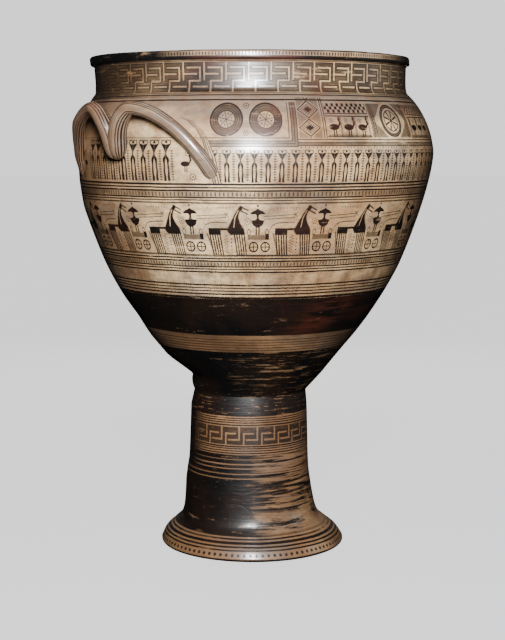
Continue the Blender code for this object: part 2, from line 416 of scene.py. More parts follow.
def arch_line(name, leg_angle, way_round, steps=30):
    """The middle line of one arch, with the strap's size and its two ways across at each point."""
    climb = interpolate_bezier(
        ARCH_ROOT, pulled(ARCH_ROOT, ARCH_APEX, (0.13, 0.41, 0.03)),
        pulled(ARCH_APEX, ARCH_ROOT, (0.41, 0.0, 0.32)), ARCH_APEX, steps)
    fall = interpolate_bezier(
        ARCH_APEX, pulled(ARCH_APEX, ARCH_LEG, (0.16, 0.0, 0.0)),
        pulled(ARCH_LEG, ARCH_APEX, (0.0, 0.79, 0.45)), ARCH_LEG, steps)
    path = [*climb[:-1], *fall]
    centres, outs, widths, depths = [], [], [], []
    for i, (turn, level, stand_off) in enumerate(path):
        angle = leg_angle + way_round * turn
        out = Vector((math.cos(angle), math.sin(angle), 0.0))
        centres.append(out * (wall_radius(level) + stand_off) + Vector((0, 0, level)))
        outs.append(out)
        leg_share = max(0, i - len(climb) + 1) / (len(fall) - 1)
        from_end = min(min(i, len(path) - 1 - i) / (steps * 0.36), 1.0)
        cap = math.sqrt(1 - (1 - min(min(i, len(path) - 1 - i) / 4, 1.0)) ** 2)
        thin = 0.85 if leg_share else 0.30
        rise = (thin + (1 - thin) * math.sin(from_end * math.pi / 2)) * cap
        broad = cap if leg_share else cap * (1.25 - 0.25 * from_end)
        widths.append((STRAP_HALF_WIDTH + (LEG_HALF_WIDTH - STRAP_HALF_WIDTH) * leg_share) * broad)
        depths.append((STRAP_HALF_DEPTH + (LEG_HALF_DEPTH - STRAP_HALF_DEPTH) * leg_share) * rise)
    sides, fronts, last = [], [], len(centres) - 1
    for i, out in enumerate(outs):
        way = (centres[min(i + 1, last)] - centres[max(i - 1, 0)]).normalized()
        sides.append(way.cross(out).normalized())
        fronts.append(sides[-1].cross(way).normalized())
    return line_mesh(name, centres, {
        "across_way": ("FLOAT_VECTOR", sides), "out_way": ("FLOAT_VECTOR", fronts),
        "half_width": ("FLOAT", widths), "half_depth": ("FLOAT", depths)})


def curve_at(points, place):
    """The height of a line of (place, height) points at a place."""
    for (p0, h0), (p1, h1) in zip(points, points[1:]):
        if place <= p1:
            return h0 + (h1 - h0) * max(0.0, place - p0) / (p1 - p0)
    return points[-1][1]


def hand_formed(point):
    """A point moved as a hand-built and mended pot's clay is: it leans and is a little uneven."""
    level = point.z
    swell = noise.noise(point * 5.0) * 0.0010 + noise.noise(point * 22.0) * 0.0003
    out = Vector((point.x, point.y, 0.0))
    if out.length > 0.05:
        side = max(0.0, out.normalized().dot(LEAN_WAY)) ** 2
        swell += curve_at(SWELL, level) * side
    moved = point + LEAN_WAY * curve_at(LEAN, level) + out.normalized() * swell * min(1.0, out.length / 0.1)
    if level > LIP_BOTTOM:
        share = (level - LIP_BOTTOM) / (RIM_LEVEL - LIP_BOTTOM)
        chip = max(0.0, noise.noise(point * 26.0 + Vector((3.0, 1.0, 0.0))) - 0.38)
        moved.z += share * (noise.noise(out * 6.0) * 0.0012 - chip * 0.014)
        moved -= out.normalized() * share * chip * 0.010
    elif level > NECK_BOTTOM - 0.2:
        moved.z += noise.noise(out * 6.0) * 0.0006
    return moved


# Painting tools


class Wall(Tree):
    """The painted face of the turned wall: height and angle, and the clay's own unevenness."""

    def __init__(self, name):
        self.material = bpy.data.materials.new(name)
        self.material.use_nodes = True
        super().__init__(self.material.node_tree)
        self.place = self.node("ShaderNodeTexCoord", None, None, "Object")
        x = self.node("ShaderNodeSeparateXYZ", None, {0: self.place})
        waver = self.noise(11.0, 2.0) - 0.5
        self.height = x.other("Z") + waver * LINE_WAVER
        self.angle = self.math("ARCTAN2", x, x.other("Y") * -1) * (180 / math.pi)

    def noise(self, scale, detail, flat=None, shift=0.0, roughness=0.55):
        """Cloudy noise; flat above 1 presses it into streaks that lie round the pot."""
        place = self.place
        if flat:
            place = self.node("ShaderNodeMapping", None,
                              {0: place, "Location": (shift, shift, shift), "Scale": (1.0, 1.0, flat)})
        sockets = {"Vector": place, "Scale": scale, "Detail": detail, "Roughness": roughness}
        return self.node("ShaderNodeTexNoise", None, sockets)

    def folded(self):
        """The angle from the middle of the nearer face, front or back, up to 90 at the handles."""
        turn = abs(self.angle)
        return least(turn, 180 - turn)

    def facing(self, degrees):
        """1 on the side of the pot that looks this way, falling to -1 on the far side."""
        return ((self.angle - degrees) * (math.pi / 180)).math("COSINE")

    def across(self, count, width):
        """Metres from the middle of the nearest of count equal units round the wall."""
        return ((self.angle * (count / 360) + 0.5) % 1.0 - 0.5) * width


def lines(value, marks, low, high, soft=0.0005):
    """Painted lines: marks are (middle, width, strength) in order from low to high."""
    points = [(low, 0.0)]
    for middle, width, strength in marks:
        near, far = middle - width / 2, middle + width / 2
        points += [(near - soft, 0.0), (near + soft, strength), (far - soft, strength), (far + soft, 0.0)]
    points.append((high, 0.0))
    kept = [points[0]]
    for place, height in points[1:]:
        kept.append((max(place, kept[-1][0] + 0.00005), height))
    return curve(value, [p for p in kept if p[0] <= high] + [(high + 0.0001, kept[-1][1])])


def stroke(value, half, soft=0.0005):
    """A line where value passes nothing."""
    return inside(abs(value) - half, soft)


def between(value, low, high, soft=0.0005):
    return inside(abs(value - (low + high) / 2) - (high - low) / 2, soft)


def far_from(across, up):
    """The distance to the point that across and up are measured from."""
    return (across * across + up * up).math("SQRT")


def disc(across, up, radius, soft=0.0005):
    return inside(far_from(across, up) - radius, soft)


def key_distance(across, up, width, height, segments):
    """The square distance to a key pattern's path, whose segments are shares of one unit."""
    nearest = None
    for (x0, y0), (x1, y1) in segments:
        side = abs(across - (x0 + x1) / 2 * width) - abs(x1 - x0) / 2 * width
        rise = abs(up - (y0 + y1) / 2 * height) - abs(y1 - y0) / 2 * height
        gap = most(side, rise)
        nearest = least(nearest, gap) if nearest else gap
    return nearest


def rosette(across, up, radius, dots=8, dot=0.0014):
    """A ring of dots round a middle dot."""
    away = far_from(across, up)
    turn = across.tree.math("ARCTAN2", up, across) * (dots / math.tau)
    side = (turn % 1.0 - 0.5) * (math.tau * radius / dots)
    return most(inside(far_from(side, away - radius) - dot), inside(away - dot * 1.2))


def zigzag(across, up, reach, step, half):
    """An upright zigzag line."""
    swing = (abs((up / step) % 1.0 - 0.5) * 4.0 - 1.0) * reach
    return stroke(across - swing, half)


# Half of a standing figure, as (height, distance from its middle), in shares of its height
OUTER_BODY = ((0, .096), (.1, .083), (.25, .09), (.4, .075), (.5, .09), (.56, .08), (.62, .03),
              (.68, .02), (.72, .03), (.80, .075), (.88, .13), (.90, .14), (.99, .14), (1.0, 0.0))
INNER_BODY = ((0, .02), (.1, .02), (.25, .04), (.4, .035), (.5, .02), (.55, 0), (.885, 0),
              (.905, .115), (.965, .115), (.985, 0.0), (1.0, 0.0))


def standing_figure(across, up, height):
    """A figure of the Geometric style: legs, narrow waist, raised arms and a dot for its head."""
    side, share = abs(across) / height, up / height
    body = inside(side - curve(share, OUTER_BODY), 0.012)
    body = body * (1 - inside(side - curve(share, INNER_BODY), 0.010))
    head = disc(across, up - height * 0.945, height * 0.036)
    return most(body, head) * between(up, 0.0, height)


def bare_clay(wall, cloud, mottle, clays, veil):
    """The clay: two tones in clouds, an ashy veil, painted shade that browns the sides turned away from the
    lit front, and a fine grain.
    """
    haze = wall.noise(7.5, 4.0, 2.4, 11.0)
    grain = spread(wall.noise(95.0, 5.0, 1.6, 8.0, 0.7), 0.50, 0.68) * 0.55
    brushed = spread(wall.noise(30.0, 4.0, 9.0, 12.0, 0.65), 0.54, 0.68) * 0.40
    # Painted shade: the clay goes browner and darker away from the front that faces the key lamp
    painted_falloff_shade = spread(wall.facing(-32.0) + cloud * 0.4 - 0.2, 0.86, 0.50) * 0.45
    clay = blend(spread(cloud, 0.36, 0.66), *clays)
    clay = blend(spread(haze + veil, 0.48, 0.72) * 0.80, clay, ASH)
    clay = blend(painted_falloff_shade, clay, TAN)
    clay = blend(spread(mottle, 0.46, 0.68) * 0.60, clay, TAN)
    return blend(most(grain, brushed), clay, TAN)


def held_slip(wall, slip, speck, worn, streaks):
    """How much of the slip still holds: it is rubbed in patches, scuffed, and bare in streaks."""
    rubbed = wall.noise(13.0, 5.0, 7.0, 5.0, 0.65) + speck * 0.22
    hold = slip * spread(rubbed, 0.92 - 0.20 * worn, 0.76 - 0.16 * worn)
    scuff = spread(wall.noise(70.0, 3.0, 3.0, 7.0, 0.6), 0.60, 0.80)
    hold = hold * (1 - scuff * (0.25 + 0.5 * worn))
    if streaks:
        hold = hold * (1 - spread(wall.noise(9.0, 6.0, 24.0, 9.0, 0.7), 0.53, 0.60) * streaks)
    return hold


def dark_slip(wall, reddened):
    """The slip's colour: brown and black in clouds, and red where the firing turned it."""
    black = spread(wall.noise(7.0, 3.0), 0.35, 0.62)
    red = spread(wall.noise(3.1, 2.0, 3.0, 4.0), 0.50, 0.66) * reddened
    return blend(red, blend(black, BROWN_SLIP, BLACK_SLIP), RED_SLIP)


def mended_cracks(wall):
    """Thin wandering seams, where the sherds were joined again."""
    swirl = wall.node("ShaderNodeTexNoise", None, {"Vector": wall.place, "Scale": 7.0}, "Color")
    drift = wall.node("ShaderNodeVectorMath", {"operation": "SCALE"}, {0: swirl, "Scale": 0.09})
    place = wall.node("ShaderNodeVectorMath", {"operation": "ADD"}, {0: wall.place, 1: drift})
    sockets = {"Vector": place, "Scale": 4.6}
    return spread(wall.node("ShaderNodeTexVoronoi", {"feature": "DISTANCE_TO_EDGE"}, sockets), 0.007, 0.002)


def fire(wall, slip, worn=0.30, streaks=0.0, clays=(BUFF, CREAM), veil=0.0, reddened=0.15):
    """The finish: clay under slip that is worn, thin in places, rubbed and a little glossy."""
    cloud = wall.noise(4.2, 3.0)
    mottle = wall.noise(26.0, 4.0, 1.8, 2.0)
    speck = wall.noise(240.0, 3.0, roughness=0.7)
    clay = bare_clay(wall, cloud, mottle, clays, veil)
    hold = held_slip(wall, slip, speck, worn, streaks)
    colour = blend(spread(hold, 0.0, 0.9), clay, dark_slip(wall, reddened))
    seam = mended_cracks(wall)
    colour = blend(seam * spread(cloud, 0.44, 0.60) * (0.30 - hold * 0.25), colour, TAN)
    rough = 0.44 + hold * -0.08 + mottle * 0.16 + speck * 0.08
    rings = wall.noise(6.0, 3.0, 26.0, 3.0)
    relief = rings * 0.8 + mottle * 0.9 + speck * 0.16 - seam * 0.22 + hold * 0.05
    bump = wall.node("ShaderNodeBump", None, {"Strength": 0.55, "Distance": 0.0012, "Height": relief})
    shader = wall.node("ShaderNodeBsdfPrincipled", None, {
        "Base Color": colour, "Roughness": rough, "Normal": bump, "Specular IOR Level": 0.36,
        "Coat Weight": 1.0 - hold * 0.86, "Coat IOR": 1.75, "Coat Roughness": 0.24})
    wall.node("ShaderNodeOutputMaterial", None, {0: shader})
    return wall.material


# Painted zones


def worn_side(wall):
    """1 on the side of the stem where the slip has flaked into streaks, 0 on its dark side of soot and
    painted shade.
    """
    return spread(wall.facing(25.0), 0.22, 0.52)


def foot_finish():
    """Dark worn foot: dots on its edge, pale lines above them, then slip with pale strokes."""
    wall = Wall("foot_slip")
    dots = disc(wall.across(96, 0.0150), wall.height - 0.0150, 0.0036, 0.0012)
    edge = most(between(wall.height, 0.0, 0.0060), dots * between(wall.height, 0.0080, 0.0220))
    fine = lines(wall.height, [
        (.0255, .0036, 1), (.0328, .0036, 1), (.0405, .0050, 1), (.0480, .0034, .9)], .0200, .0500)
    above = spread(wall.height, 0.0520, 0.0535)
    pale = lines(wall.height, [(.1904, .0030, .85), (.2020, .0030, .85)], .1800, .2100)
    slip = most(edge, fine, above * (1 - pale))
    bare = spread(wall.noise(8.0, 6.0, 15.0, 9.0, 0.7), 0.46, 0.53) * worn_side(wall)
    patch = spread(wall.noise(5.0, 5.0, 3.0, 1.5, 0.6), 0.50, 0.56)
    patch = patch * between(wall.height, 0.055, 0.105, 0.01)
    slip = slip * (1 - most(bare * between(wall.height, 0.055, 0.300, 0.004), patch) * 0.9)
    grime_and_painted_shade = spread(wall.noise(6.0, 4.0), 0.40, 0.64) * 0.40
    # Painted shade: the foot takes darker clays (TAN, BUFF) than the bowl, as it gets less light
    return fire(wall, most(slip, grime_and_painted_shade), clays=(TAN, BUFF), reddened=0.06)


# The pale path of each key pattern in one unit, as shares of the unit's width and height
STEM_KEY = (((1, .30), (1, 1)), ((0, .30), (0, 1)), ((.42, .30), (1, .30)), ((.25, 0), (.25, .62)),
            ((.25, .62), (.78, .62)), ((-.2, 0), (1.2, 0)), ((-.2, 1), (1.2, 1)))
NECK_KEY = (((0, .42), (0, 1)), ((1, .42), (1, 1)), ((0, .60), (.62, .60)), ((.20, .80), (.80, .80)),
            ((.80, .38), (.80, .80)), ((.30, .38), (.80, .38)), ((.30, 0), (.30, .38)),
            ((.50, .20), (1.12, .20)), ((-.50, .20), (.12, .20)), ((-.2, 0), (1.2, 0)),
            ((-.2, 1), (1.2, 1)))


def key_band(wall, segments, units, radius, low, high):
    """The distance to the pale path of a key pattern that runs round the pot."""
    width = math.tau * radius / units
    across, up = wall.across(units, width) + width / 2, wall.height - low
    return key_distance(across, up, width, high - low, segments)


def stem_finish():
    """Stem: dark with pale lines, lines on buff, a key pattern, lines, and a dark worn top."""
    wall = Wall("stem_slip")
    low, high = 0.2739, 0.3227
    gap = key_band(wall, STEM_KEY, 21, 0.152, low, high)
    key = spread(gap, 0.0016, 0.0024) * 0.80 * between(wall.height, low, high)
    belts = lines(wall.height, [
        (.2100, .0090, 1), (.2210, .0080, 1), (.2330, .0100, 1), (.2450, .0110, 1), (.2545, .0030, 1),
        (.2605, .0026, 1), (.2665, .0026, 1), (.2716, .0034, 1), (.3252, .0036, 1), (.3315, .0026, 1),
        (.3370, .0026, 1), (.3425, .0026, 1), (.3760, .0580, 1)], .2050, .4100)
    bare = spread(wall.noise(9.0, 6.0, 20.0, 9.0, 0.7), 0.45, 0.52) * worn_side(wall)
    bare = bare * inside(wall.height - 0.2500, 0.004)
    dashes = lines(wall.height, [
        (.3610, .0018, .8), (.3722, .0020, 1), (.3784, .0012, .7), (.3880, .0020, .9)], .3500, .3940)
    dashes = dashes * spread(wall.noise(34.0, 4.0, 0.6, 6.0, 0.6), 0.52, 0.58)
    # Painted shade with soot: dark slip over the stem's left and back, the side away from the lamps
    soot_and_painted_shade = spread(wall.facing(-155.0), 0.45, 0.80)
    slip = most(most(key, belts) * (1 - most(bare * 0.9, dashes)), soot_and_painted_shade)
    # Painted shade: the stem takes darker clays (TAN, BUFF) than the bowl, as it gets less light
    return fire(wall, slip, worn=0.34, streaks=0.15, clays=(TAN, BUFF), reddened=0.06)


def dark_bowl_finish():
    """The bowl's dark lower half: worn slip, a buff belt with fine lines, and an even dark belt."""
    wall = Wall("dark_bowl_slip")
    belt = lines(wall.height, [
        (.4550, .1330, 1), (.5265, .0022, .9), (.5335, .0020, .9), (.5405, .0020, .9),
        (.5475, .0020, .9), (.5545, .0022, .9), (.6140, .0960, 1)], .3860, .6620)
    flecks = spread(wall.noise(10.0, 6.0, 14.0, 9.0, 0.72), 0.53, 0.60)
    flecks = flecks * spread(wall.facing(10.0), 0.10, 0.75) * inside(wall.height - 0.5200, 0.004)
    grime_and_painted_shade = between(wall.height, 0.520, 0.570) * spread(wall.noise(4.0, 3.0, 4.0), 0.36, 0.60) * 0.55
    slip = most(belt * (1 - flecks * 0.85), grime_and_painted_shade)
    red = spread(wall.noise(7.0, 5.0, 9.0, 6.0, 0.65), 0.40, 0.56) * 0.85
    red = red * spread(wall.facing(20.0), 0.50, 0.90)
    return fire(wall, slip, worn=0.14, streaks=0.06, clays=(TAN, BUFF), veil=0.05, reddened=red)


def ticks(wall, low, high, count):
    """Short strokes side by side round a belt."""
    beat = (wall.angle * (count / 360)) % 1.0
    return inside(abs(beat - 0.5) - 0.21, 0.06) * between(wall.height, low, high)


def low_belts_finish():
    """Belts under the chariots: lines, a belt of strokes, lines, plain clay, lines."""
    wall = Wall("low_belts")
    marks = lines(wall.height, [
        (.6629, .0060, 1), (.6725, .0036, 1), (.6800, .0028, 1), (.6873, .0028, 1), (.6948, .0038, 1),
        (.7263, .0036, 1), (.7330, .0028, 1), (.7390, .0032, 1), (.7520, .0036, 1), (.7585, .0034, 1),
        (.7655, .0044, 1)], .6600, .7670)
    strokes = most(ticks(wall, 0.7412, 0.7492, 300) * 0.8, between(wall.height, 0.7400, 0.7510) * 0.35)
    smears = spread(wall.noise(38.0, 4.0, 0.12, 2.0, 0.6), 0.48, 0.62)
    smears = smears * between(wall.height, 0.6970, 0.7240) * 0.34
    return fire(wall, most(marks, strokes, smears), worn=0.24, streaks=0.10)


class Unit:
    """One unit of the chariot row, by shares of its width from the left, u, and its height, v."""

    def __init__(self, wall, count, radius, turned, bottom, tall):
        self.wide, self.tall = math.tau * radius / count, tall
        self.u = (wall.angle * (count / 360) + turned) % 1.0
        self.v = (wall.height - bottom) / tall
        self.behind = (self.u + 0.5) % 1.0 - 0.5

    def outlined(self, left, right, low, high, soft=0.010):
        """The shape between two edges, each a line of (height, place) points."""
        middle = [(v, (u + curve_at(right, v)) / 2) for v, u in left]
        half = [(v, (curve_at(right, v) - u) / 2) for v, u in left]
        shape = inside(abs(self.u - curve(self.v, middle)) - curve(self.v, half), soft)
        return shape * between(self.v, low, high, 0.006)

    def bar(self, left, right, low, high):
        return between(self.u, left, right, 0.006) * between(self.v, low, high, 0.008)

    def spot(self, u, v, radius):
        return disc((self.u - u) * self.wide, (self.v - v) * self.tall, radius)


NECK_LEFT = ((.40, .33), (.45, .30), (.50, .28), (.55, .305), (.62, .33), (.69, .357),
             (.74, .378), (.80, .40), (.85, .424), (.90, .447), (.955, .477), (.98, .503))
NECK_RIGHT = ((.40, .556), (.45, .55), (.50, .545), (.55, .525), (.62, .492), (.69, .472),
              (.74, .464), (.80, .468), (.85, .48), (.90, .52), (.955, .53), (.98, .51))
MANE = ((.54, .384), (.545, .388), (.74, .41), (.884, .463), (.89, .556))
REIN = ((-.09, .46), (-.07, .53), (-.03, .60), (.03, .635), (.10, .645), (.29, .65))
DRIVER = ((.40, .030), (.5620, .030), (.5630, .036), (.585, .062), (.62, .080), (.66, .091),
          (.6875, .098), (.70, .030), (.74, .014), (.79, .016), (.8120, .030), (.8125, .112),
          (.84, .100), (.87, .072), (.902, .020), (.93, .0))


def row_of_legs(place):
    """Five legs side by side; place counts them from the middle of the first."""
    return stroke((place + 0.5) % 1.0 - 0.5, 0.27, 0.10) * between(place, -0.4, 4.4, 0.02)


def horses(unit):
    """A team seen as one horse with many legs: neck, muzzle, jaw, back, legs and tail."""
    u, v = unit.u, unit.v
    mane = stroke(u - curve(v, MANE), 0.006, 0.005) * between(v, 0.545, 0.89, 0.01)
    team = unit.outlined(NECK_LEFT, NECK_RIGHT, 0.40, 0.985) * (1 - mane)
    team = most(team, unit.bar(0.0, 0.40, 0.490, 0.535), unit.bar(0.0, 0.19, 0.40, 0.51))
    muzzle = stroke(v - (0.955 - (u - 0.503) * 0.70), 0.014, 0.008) * between(u, 0.48, 0.61, 0.006)
    jaw = stroke(v - (0.884 - (u - 0.49) * 0.68), 0.014, 0.008) * between(u, 0.47, 0.60, 0.006)
    team = most(team, muzzle, jaw)
    hind = row_of_legs((u - 0.018 - (0.42 - v) * 0.085) / 0.0385) * between(v, 0.0, 0.44)
    front = row_of_legs((u - 0.388 - (0.44 - v) * (0.160 - u * 0.16)) / 0.0375) * between(v, 0.0, 0.46)
    team = most(team, most(hind, front) * 0.92)
    tail = stroke(unit.behind - 0.020 + (v - 0.22) * 0.21, 0.013, 0.008) * between(v, 0.01, 0.44)
    return most(team, tail * 0.72)


def car(unit):
    """A low car: its floor, a rounded rail at each end, and two wheels with four spokes."""
    floor = most(unit.bar(0.59, 0.914, 0.304, 0.402) * 0.66, unit.bar(0.855, 0.914, 0.304, 0.425))
    hoop = abs(abs(unit.u - 0.745) - 0.133) * (unit.wide * 1.7)
    rail = stroke(far_from(hoop, (unit.v - 0.455) * unit.tall) - 0.0066, 0.0012)
    side, up = abs(abs(unit.u - 0.7715) - 0.0895) * unit.wide, abs(unit.v - 0.16) * unit.tall
    away = far_from(side, up)
    spokes = inside(least(side, up) - 0.0010) * inside(away - 0.0108)
    return most(floor, rail * 0.9, stroke(away - 0.0108, 0.0016), spokes)


def driver(unit):
    """The driver in the car: a dot for the head, wide shoulders, a wide shield, and two legs."""
    side, v = abs(unit.u - 0.742), unit.v
    body = inside(side - curve(v, DRIVER), 0.006) * between(v, 0.40, 0.93, 0.006)
    body = body * (1 - inside(side - 0.010, 0.004) * between(v, 0.40, 0.55, 0.006))
    return most(unit.spot(0.742, 0.975, 0.0024), body)


def row_filling(unit):
    """What fills the ground of a unit: zigzag, dotted ring, beads, dots, reins and a star."""
    u, v, behind, wide, tall = unit.u, unit.v, unit.behind, unit.wide, unit.tall
    fill = zigzag((u - 0.262) * wide, v * tall, 0.0050, 0.0064, 0.0016) * between(v, 0.04, 0.41)
    fill = most(fill, rosette((u - 0.595) * wide, (v - 0.67) * tall, 0.0064))
    beads = disc(((u * 22) % 1.0 - 0.5) * (wide / 22), (v - 0.93) * tall, 0.0014)
    dots = disc((u - 0.345) * wide, ((v * 14) % 1.0 - 0.5) * (tall / 14), 0.0017)
    fill = most(fill, beads * between(u, 0.0, 0.384), dots * between(v, 0.04, 0.38))
    rein = stroke(v - curve(behind, REIN), 0.009, 0.006) * between(behind, -0.09, 0.29)
    upper = stroke(abs(v - 0.752 - behind * 0.08) - 0.028, 0.007, 0.005) * between(behind, -0.17, 0.29)
    slant, level = (u - 0.292) * 1.6, v - 0.80
    star = most(stroke(slant + level, 0.010, 0.006), stroke(slant - level, 0.010, 0.006))
    star = star * between(u, 0.262, 0.322, 0.006) * between(v, 0.75, 0.85)
    return most(fill, rein, upper, star)


def chariots_finish():
    """The row of horses and two-wheeled cars, seventeen round the pot."""
    wall = Wall("chariot_row")
    unit = Unit(wall, count=17, radius=0.448, turned=2.908, bottom=0.7672, tall=0.1168)
    slip = most(horses(unit), car(unit), driver(unit))
    slip = most(slip, row_filling(unit) * 0.88)
    slip = most(slip, lines(wall.height, [(.7655, .0044, 1), (.8864, .0030, 1)], .7640, .8870))
    return fire(wall, slip, worn=0.20)


def high_belts_finish():
    """Belts over the chariots: lines and a belt of short strokes."""
    wall = Wall("high_belts")
    marks = lines(wall.height, [
        (.8864, .0032, 1), (.8931, .0026, 1), (.8989, .0034, 1), (.9145, .0040, 1), (.9217, .0034, 1),
        (.9290, .0044, 1)], .8845, .9310)
    strokes = most(ticks(wall, 0.9016, 0.9112, 280) * 0.8, between(wall.height, 0.9005, 0.9130) * 0.42)
    return fire(wall, most(marks, strokes), worn=0.24)


# The edges of the lines beside a handle, as (height, degrees), and the frame's side and bottom
WING_NEAR = ((.9290, 58.8), (.9890, 60.3), (1.0276, 61.9), (1.0514, 64.0), (1.0709, 67.2),
             (1.0790, 69.6), (1.1200, 84.0))
WING_FAR = ((.9290, 56.5), (.9890, 58.1), (1.0276, 60.2), (1.0514, 62.5), (1.0709, 65.9),
            (1.0790, 69.0), (1.1200, 83.6))
FRAME_SIDE, FRAME_BOTTOM = 34.5, 1.0130


def wing(wall, turn):
    """Four fine lines that sweep down beside the strap of a handle, and their outer edge."""
    near, far = curve(wall.height, WING_NEAR), curve(wall.height, WING_FAR)
    share = (turn - far) / (near - far) * 3
    strokes = most(inside(abs((share + 0.5) % 1.0 - 0.5) - 0.20, 0.07), (share > 1.9) * 0.45)
    return strokes * inside(abs(share - 1.5) - 1.7, 0.05) * inside(wall.height - 1.0790), far


def frame_corner(wall, turn):
    """Lines with a brown wash that run along under the discs and turn up beside them."""
    depth = least((turn - FRAME_SIDE) * 0.0076, wall.height - FRAME_BOTTOM)
    rows = lines(depth, [
        (0, .0022, 1), (.0066, .0020, 1), (.0128, .0020, 1), (.0192, .0020, 1)], -.0040, .0230)
    return most(rows, between(depth, 0.0, 0.0128) * 0.62)


def bird(across, up, tall):
    """A wading bird: oval body, long neck, beak and two legs."""
    rise = up / tall
    body = inside(far_from(across + tall * 0.06, (up - tall * 0.44) * 1.789) - tall * 0.26)
    bend = curve(rise, ((.44, .16), (.62, .27), (.80, .22), (.92, .25), (1.0, .26))) * tall
    neck = stroke(across - bend, tall * 0.050) * between(rise, 0.44, 0.97, 0.02)
    beak = stroke(up - tall * 0.93, tall * 0.025) * between(across, tall * 0.24, tall * 0.42)
    legs = stroke(abs(across + tall * 0.03) - tall * 0.06, tall * 0.030) * between(rise, 0.0, 0.30, 0.02)
    return most(body, neck, beak, legs)


def figures_finish():
    """The row of standing figures, the small ones under the handles, and the frame above them."""
    wall = Wall("figure_row")
    turn, degree, units = wall.folded(), 0.0078, 92
    sweep, far = wing(wall, turn)
    main = inside(turn - far, 0.10)
    across, up = wall.across(units, 0.0310), wall.height - 0.9335
    row = standing_figure(across, up, 0.0725)
    gaps = zigzag(0.0155 - abs(across), up, 0.0026, 0.0058, 0.0017) * between(wall.height, 0.9350, 0.9990)
    row = most(row, gaps * 0.85) * main
    across = ((turn + 0.8) / 4.0 % 1.0 - 0.5) * 0.0317
    arch = standing_figure(across, wall.height - 0.9360, 0.0920) * spread(turn, 71.2, 71.3)
    columns = zigzag(0.0158 - abs(across), up, 0.0026, 0.0058, 0.0017)
    columns = columns * between(wall.height, 0.9350, 1.0060) * spread(turn, 69.5, 69.6)
    row = most(row, arch, columns * 0.85)
    dotted = disc(wall.across(420, 0.0068), wall.height - 1.0290, 0.0011) * spread(turn, 62.0, 62.2)
    wader = bird((turn - 66.8) * -degree, wall.height - 0.9560, 0.0420) * between(turn, 63.5, 70.2)
    row = most(row, dotted * 0.9, wader * 0.9)
    shelf = lines(wall.height, [
        (1.0150, .0024, 1), (1.0185, .0040, .7), (1.0220, .0024, 1), (1.0285, .0022, 1)], 1.0060, 1.0330)
    shelf = most(shelf, disc(wall.across(300, 0.0094), wall.height - 1.0112, 0.0015) * 0.9)
    shelf = shelf * inside(turn - FRAME_SIDE, 0.1)
    row = most(row, most(shelf, frame_corner(wall, turn)) * main)
    under = rosette((turn - 64.9) * degree, wall.height - 0.9450, 0.0068, 8, 0.0018)
    under = most(under, rosette((turn - 66.2) * degree, wall.height - 0.9980, 0.0060, 8, 0.0016))
    row = most(row, under * spread(turn, 62.5, 63.0), sweep)
    return fire(wall, most(row, lines(wall.height, [(.9290, .0044, 1)], .9265, .9400)), worn=0.28)


def ringed_discs(wall, turn, degree):
    """Two ringed discs side by side, with spokes and dots inside, and a rosette over and under."""
    pair = abs(turn - 49.4)
    side, up = (pair - 5.8) * degree, wall.height - 1.0733
    away = far_from(side, up)
    rings = curve(away, (
        (0, 1), (.0012, 1), (.0018, 0), (.0182, 0), (.0188, 1), (.0206, 1), (.0212, 0), (.0236, 0),
        (.0242, .9), (.0252, .9), (.0258, 0), (.0292, 0), (.0298, .9), (.0308, .9), (.0314, 0),
        (.0338, 0), (.0344, 1), (.0376, 1), (.0384, 0), (.04, 0)))
    sector = wall.math("ARCTAN2", up, side) * (6 / math.tau)
    spokes = inside(abs((sector + 0.25) % 1.0 - 0.5) * away - 0.0009) * inside(away - 0.0188)
    studs = disc(((sector + 0.75) % 1.0 - 0.5) * away, away - 0.0125, 0.0018)
    wash = stroke(away - 0.0285, 0.0090) * (0.45 + spread(wall.noise(9.0, 3.0), 0.35, 0.65) * 0.4)
    discs = most(rings, wash, most(spokes, studs) * 0.8)
    middle = pair * degree
    over = rosette(middle, wall.height - 1.1040, 0.0058)
    return most(discs, over, rosette(middle, wall.height - 1.0430, 0.0052))


def lozenges(wall, turn, degree):
    """Two lozenges, one over the other, with a net and a solid heart inside."""
    step = (turn - 30.6) * degree
    climb = ((wall.height - 1.0340) / 0.0410 % 1.0 - 0.5) * 0.0410
    away = abs(step) * 0.78 + abs(climb)
    net = most(stroke((step + climb) / 0.0068 % 1.0 - 0.5, 0.13, 0.05),
               stroke((step - climb) / 0.0068 % 1.0 - 0.5, 0.13, 0.05))
    shape = most(stroke(away - 0.0190, 0.0016), most(net, inside(away - 0.0070)) * inside(away - 0.0150))
    return most(shape, inside(0.0235 - away) * 0.45) * between(turn, 27.0, 34.0, 0.06)


def birds(wall, turn, degree):
    """Birds side by side on a low shelf, with a zigzag and a small rosette between them."""
    place = turn / 5.0 % 1.0
    step = 5.0 * degree
    row = bird((place - 0.5) * -step, wall.height - 1.0350, 0.0490)
    row = most(row, zigzag((place - 0.08) * step, wall.height, 0.0024, 0.0060, 0.0013))
    row = most(row, rosette((place - 0.72) * step, wall.height - 1.0715, 0.0042, 6, 0.0012))
    row = most(row, between(wall.height, 1.0345, 1.0400) * 0.6)
    return row * between(turn, 10.0, 25.0, 0.06) * between(wall.height, 1.0345, 1.0795)


def chequers(wall, turn):
    """Three rows of chequers between lines, above the birds."""
    rules = lines(wall.height, [
        (1.0345, .0022, 1), (1.0812, .0026, 1), (1.0870, .0022, 1), (1.1110, .0022, 1)], 1.0320, 1.1100)
    beat = (wall.angle * (200 / 360)) % 1.0
    checks = (beat < 0.5) * between(wall.height, 1.0960, 1.1030)
    for low in (1.0890, 1.1030):
        checks = most(checks, (beat > 0.5) * between(wall.height, low, low + 0.0070))
    return most(rules, checks) * inside(turn - 25.3, 0.06) * spread(turn, 9.6, 9.7)


